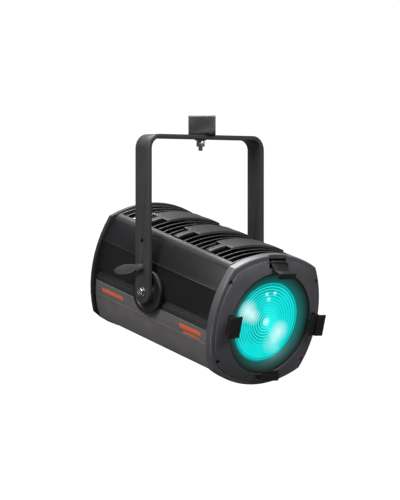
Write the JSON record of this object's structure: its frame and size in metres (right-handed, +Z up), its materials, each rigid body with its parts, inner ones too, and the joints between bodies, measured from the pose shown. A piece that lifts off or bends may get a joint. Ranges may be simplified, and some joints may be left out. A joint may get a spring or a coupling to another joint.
{
  "type": "stage fresnel spotlight",
  "caption": "Stage spotlight head with a Fresnel lens, vented cover and colour-frame holders, tilting in a flat-bar yoke that hangs from a tube clamp.",
  "frame": {"origin": "centre of the 32 mm tube that the clamp grips, above the middle of the yoke", "axes": "+X along the tilt axis, towards the head's left seen from its front; +Z up; the lens faces -Y, nose down at rest"},
  "size_m": [0.3978, 0.5568, 0.6254],
  "materials": {
    "black": "satin black powder coat",
    "yoke_paint": "satin dark grey powder coat",
    "casting_grey": "satin mid grey powder coat",
    "shell_grey": "satin warm grey powder coat",
    "steel": "zinc plated",
    "aluminium": "mill finish",
    "black_plastic": "moulded, fine texture",
    "knob_rubber": "soft touch",
    "lens_glass": "moulded fresnel lens, lit from behind",
    "display_glass": "clear over a dark display",
    "led_plate": "led array, emissive",
    "circuit_board": "solder mask"
  },
  "bodies": {
    "clamp": {"clamp_body": "black", "clamp_side_screw": "black", "hanger_stud": "steel", "hanger_washer": "steel", "hanger_nut": "steel"},
    "clamp_strap": {"clamp_strap": "black"},
    "clamp_bolt": {"clamp_bolt": "steel"},
    "yoke": {"yoke_bar": "yoke_paint", "pivot_bolt_left": "steel", "pivot_bolt_right": "steel", "pivot_washer_left": "steel", "pivot_washer_right": "steel"},
    "tilt_lock": {"tilt_lock_lever": "black_plastic", "tilt_lock_screw": "steel"},
    "head": {"front_ring": "casting_grey", "lens_baffle": "black", "lens_retainer": "aluminium", "fresnel_lens": "lens_glass", "frame_holder_left": "casting_grey", "frame_holder_right": "casting_grey", "frame_holder_bottom": "casting_grey", "frame_lip_left": "black", "frame_lip_right": "black", "frame_lip_bottom": "black", "latch_pin": "steel", "top_cover": "casting_grey", "side_panel_left": "yoke_paint", "side_panel_right": "yoke_paint", "side_rail_left": "black", "side_rail_right": "black", "lower_shell": "shell_grey", "friction_disc_left": "black", "friction_disc_right": "black", "rear_cap": "yoke_paint", "control_panel": "black_plastic", "display_window": "display_glass", "power_inlet": "black_plastic", "power_outlet": "black_plastic", "data_inlet": "steel", "data_outlet": "steel", "safety_eye": "steel", "front_bulkhead": "aluminium", "rear_bulkhead": "aluminium", "guide_rod_left": "steel", "guide_rod_right": "steel", "power_supply": "aluminium", "driver_board": "circuit_board", "fan_frame": "black_plastic"},
    "frame_latch": {"latch_arm": "casting_grey", "latch_lip": "black"},
    "zoom_carriage": {"carriage_plate": "aluminium", "heatsink": "aluminium", "led_module": "led_plate", "mixing_reflector": "aluminium"},
    "zoom_knob": {"zoom_knob": "knob_rubber", "lead_screw": "steel"},
    "fan_rotor": {"fan_rotor": "black_plastic"},
    "menu_up": {"menu_button_up": "knob_rubber"},
    "menu_enter": {"menu_button_enter": "knob_rubber"},
    "menu_down": {"menu_button_down": "knob_rubber"}
  },
  "joints": [
    {"name": "pan", "type": "hinge", "parent": "clamp", "child": "yoke", "pos_m": [0, 0, -0.03], "axis": [0, 0, 1], "range_deg": [-180, 180]},
    {"name": "tilt", "type": "hinge", "parent": "yoke", "child": "head", "pos_m": [0, 0, -0.39], "axis": [1, 0, 0], "range_deg": [-105.5, 74.5]},
    {"name": "tilt_lock", "type": "hinge", "parent": "yoke", "child": "tilt_lock", "pos_m": [-0.18, 0, -0.333], "axis": [1, 0, 0], "range_deg": [-40, 110]},
    {"name": "strap_swing", "type": "hinge", "parent": "clamp", "child": "clamp_strap", "pos_m": [0.0124, 0.01426, 0.0182], "axis": [0.7547, -0.6561, 0], "range_deg": [0, 95]},
    {"name": "strap_bolt_turn", "type": "hinge", "parent": "clamp_strap", "child": "clamp_bolt", "pos_m": [0.00734, 0.02674, -0.0201], "axis": [0.6561, 0.7547, 0], "continuous": true},
    {"name": "frame_latch", "type": "hinge", "parent": "head", "child": "frame_latch", "pos_m": [0, -0.27131, -0.32099], "axis": [-1, 0, 0], "range_deg": [0, 95]},
    {"name": "zoom_travel", "type": "slide", "parent": "head", "child": "zoom_carriage", "axis": [0, -0.9636, -0.2672], "range_m": [-0.08, 0]},
    {"name": "zoom_knob_turn", "type": "hinge", "parent": "head", "child": "zoom_knob", "pos_m": [0, 0.23595, -0.39513], "axis": [0, -0.9636, -0.2672], "range_deg": [-1440, 1]},
    {"name": "fan_spin", "type": "hinge", "parent": "head", "child": "fan_rotor", "pos_m": [0, 0.18577, -0.33018], "axis": [0, -0.9636, -0.2672], "continuous": true},
    {"name": "menu_up_press", "type": "slide", "parent": "head", "child": "menu_up", "axis": [0, -0.9636, -0.2672], "range_m": [0, 0.0015], "stiffness_N_per_m": 400, "springref_m": -0.001},
    {"name": "menu_enter_press", "type": "slide", "parent": "head", "child": "menu_enter", "axis": [0, -0.9636, -0.2672], "range_m": [0, 0.0015], "stiffness_N_per_m": 400, "springref_m": -0.001},
    {"name": "menu_down_press", "type": "slide", "parent": "head", "child": "menu_down", "axis": [0, -0.9636, -0.2672], "range_m": [0, 0.0015], "stiffness_N_per_m": 400, "springref_m": -0.001}
  ],
  "couplings": [
    {"joint": "zoom_knob_turn", "follows": "zoom_travel", "rad_per_m": 314.16}
  ]
}
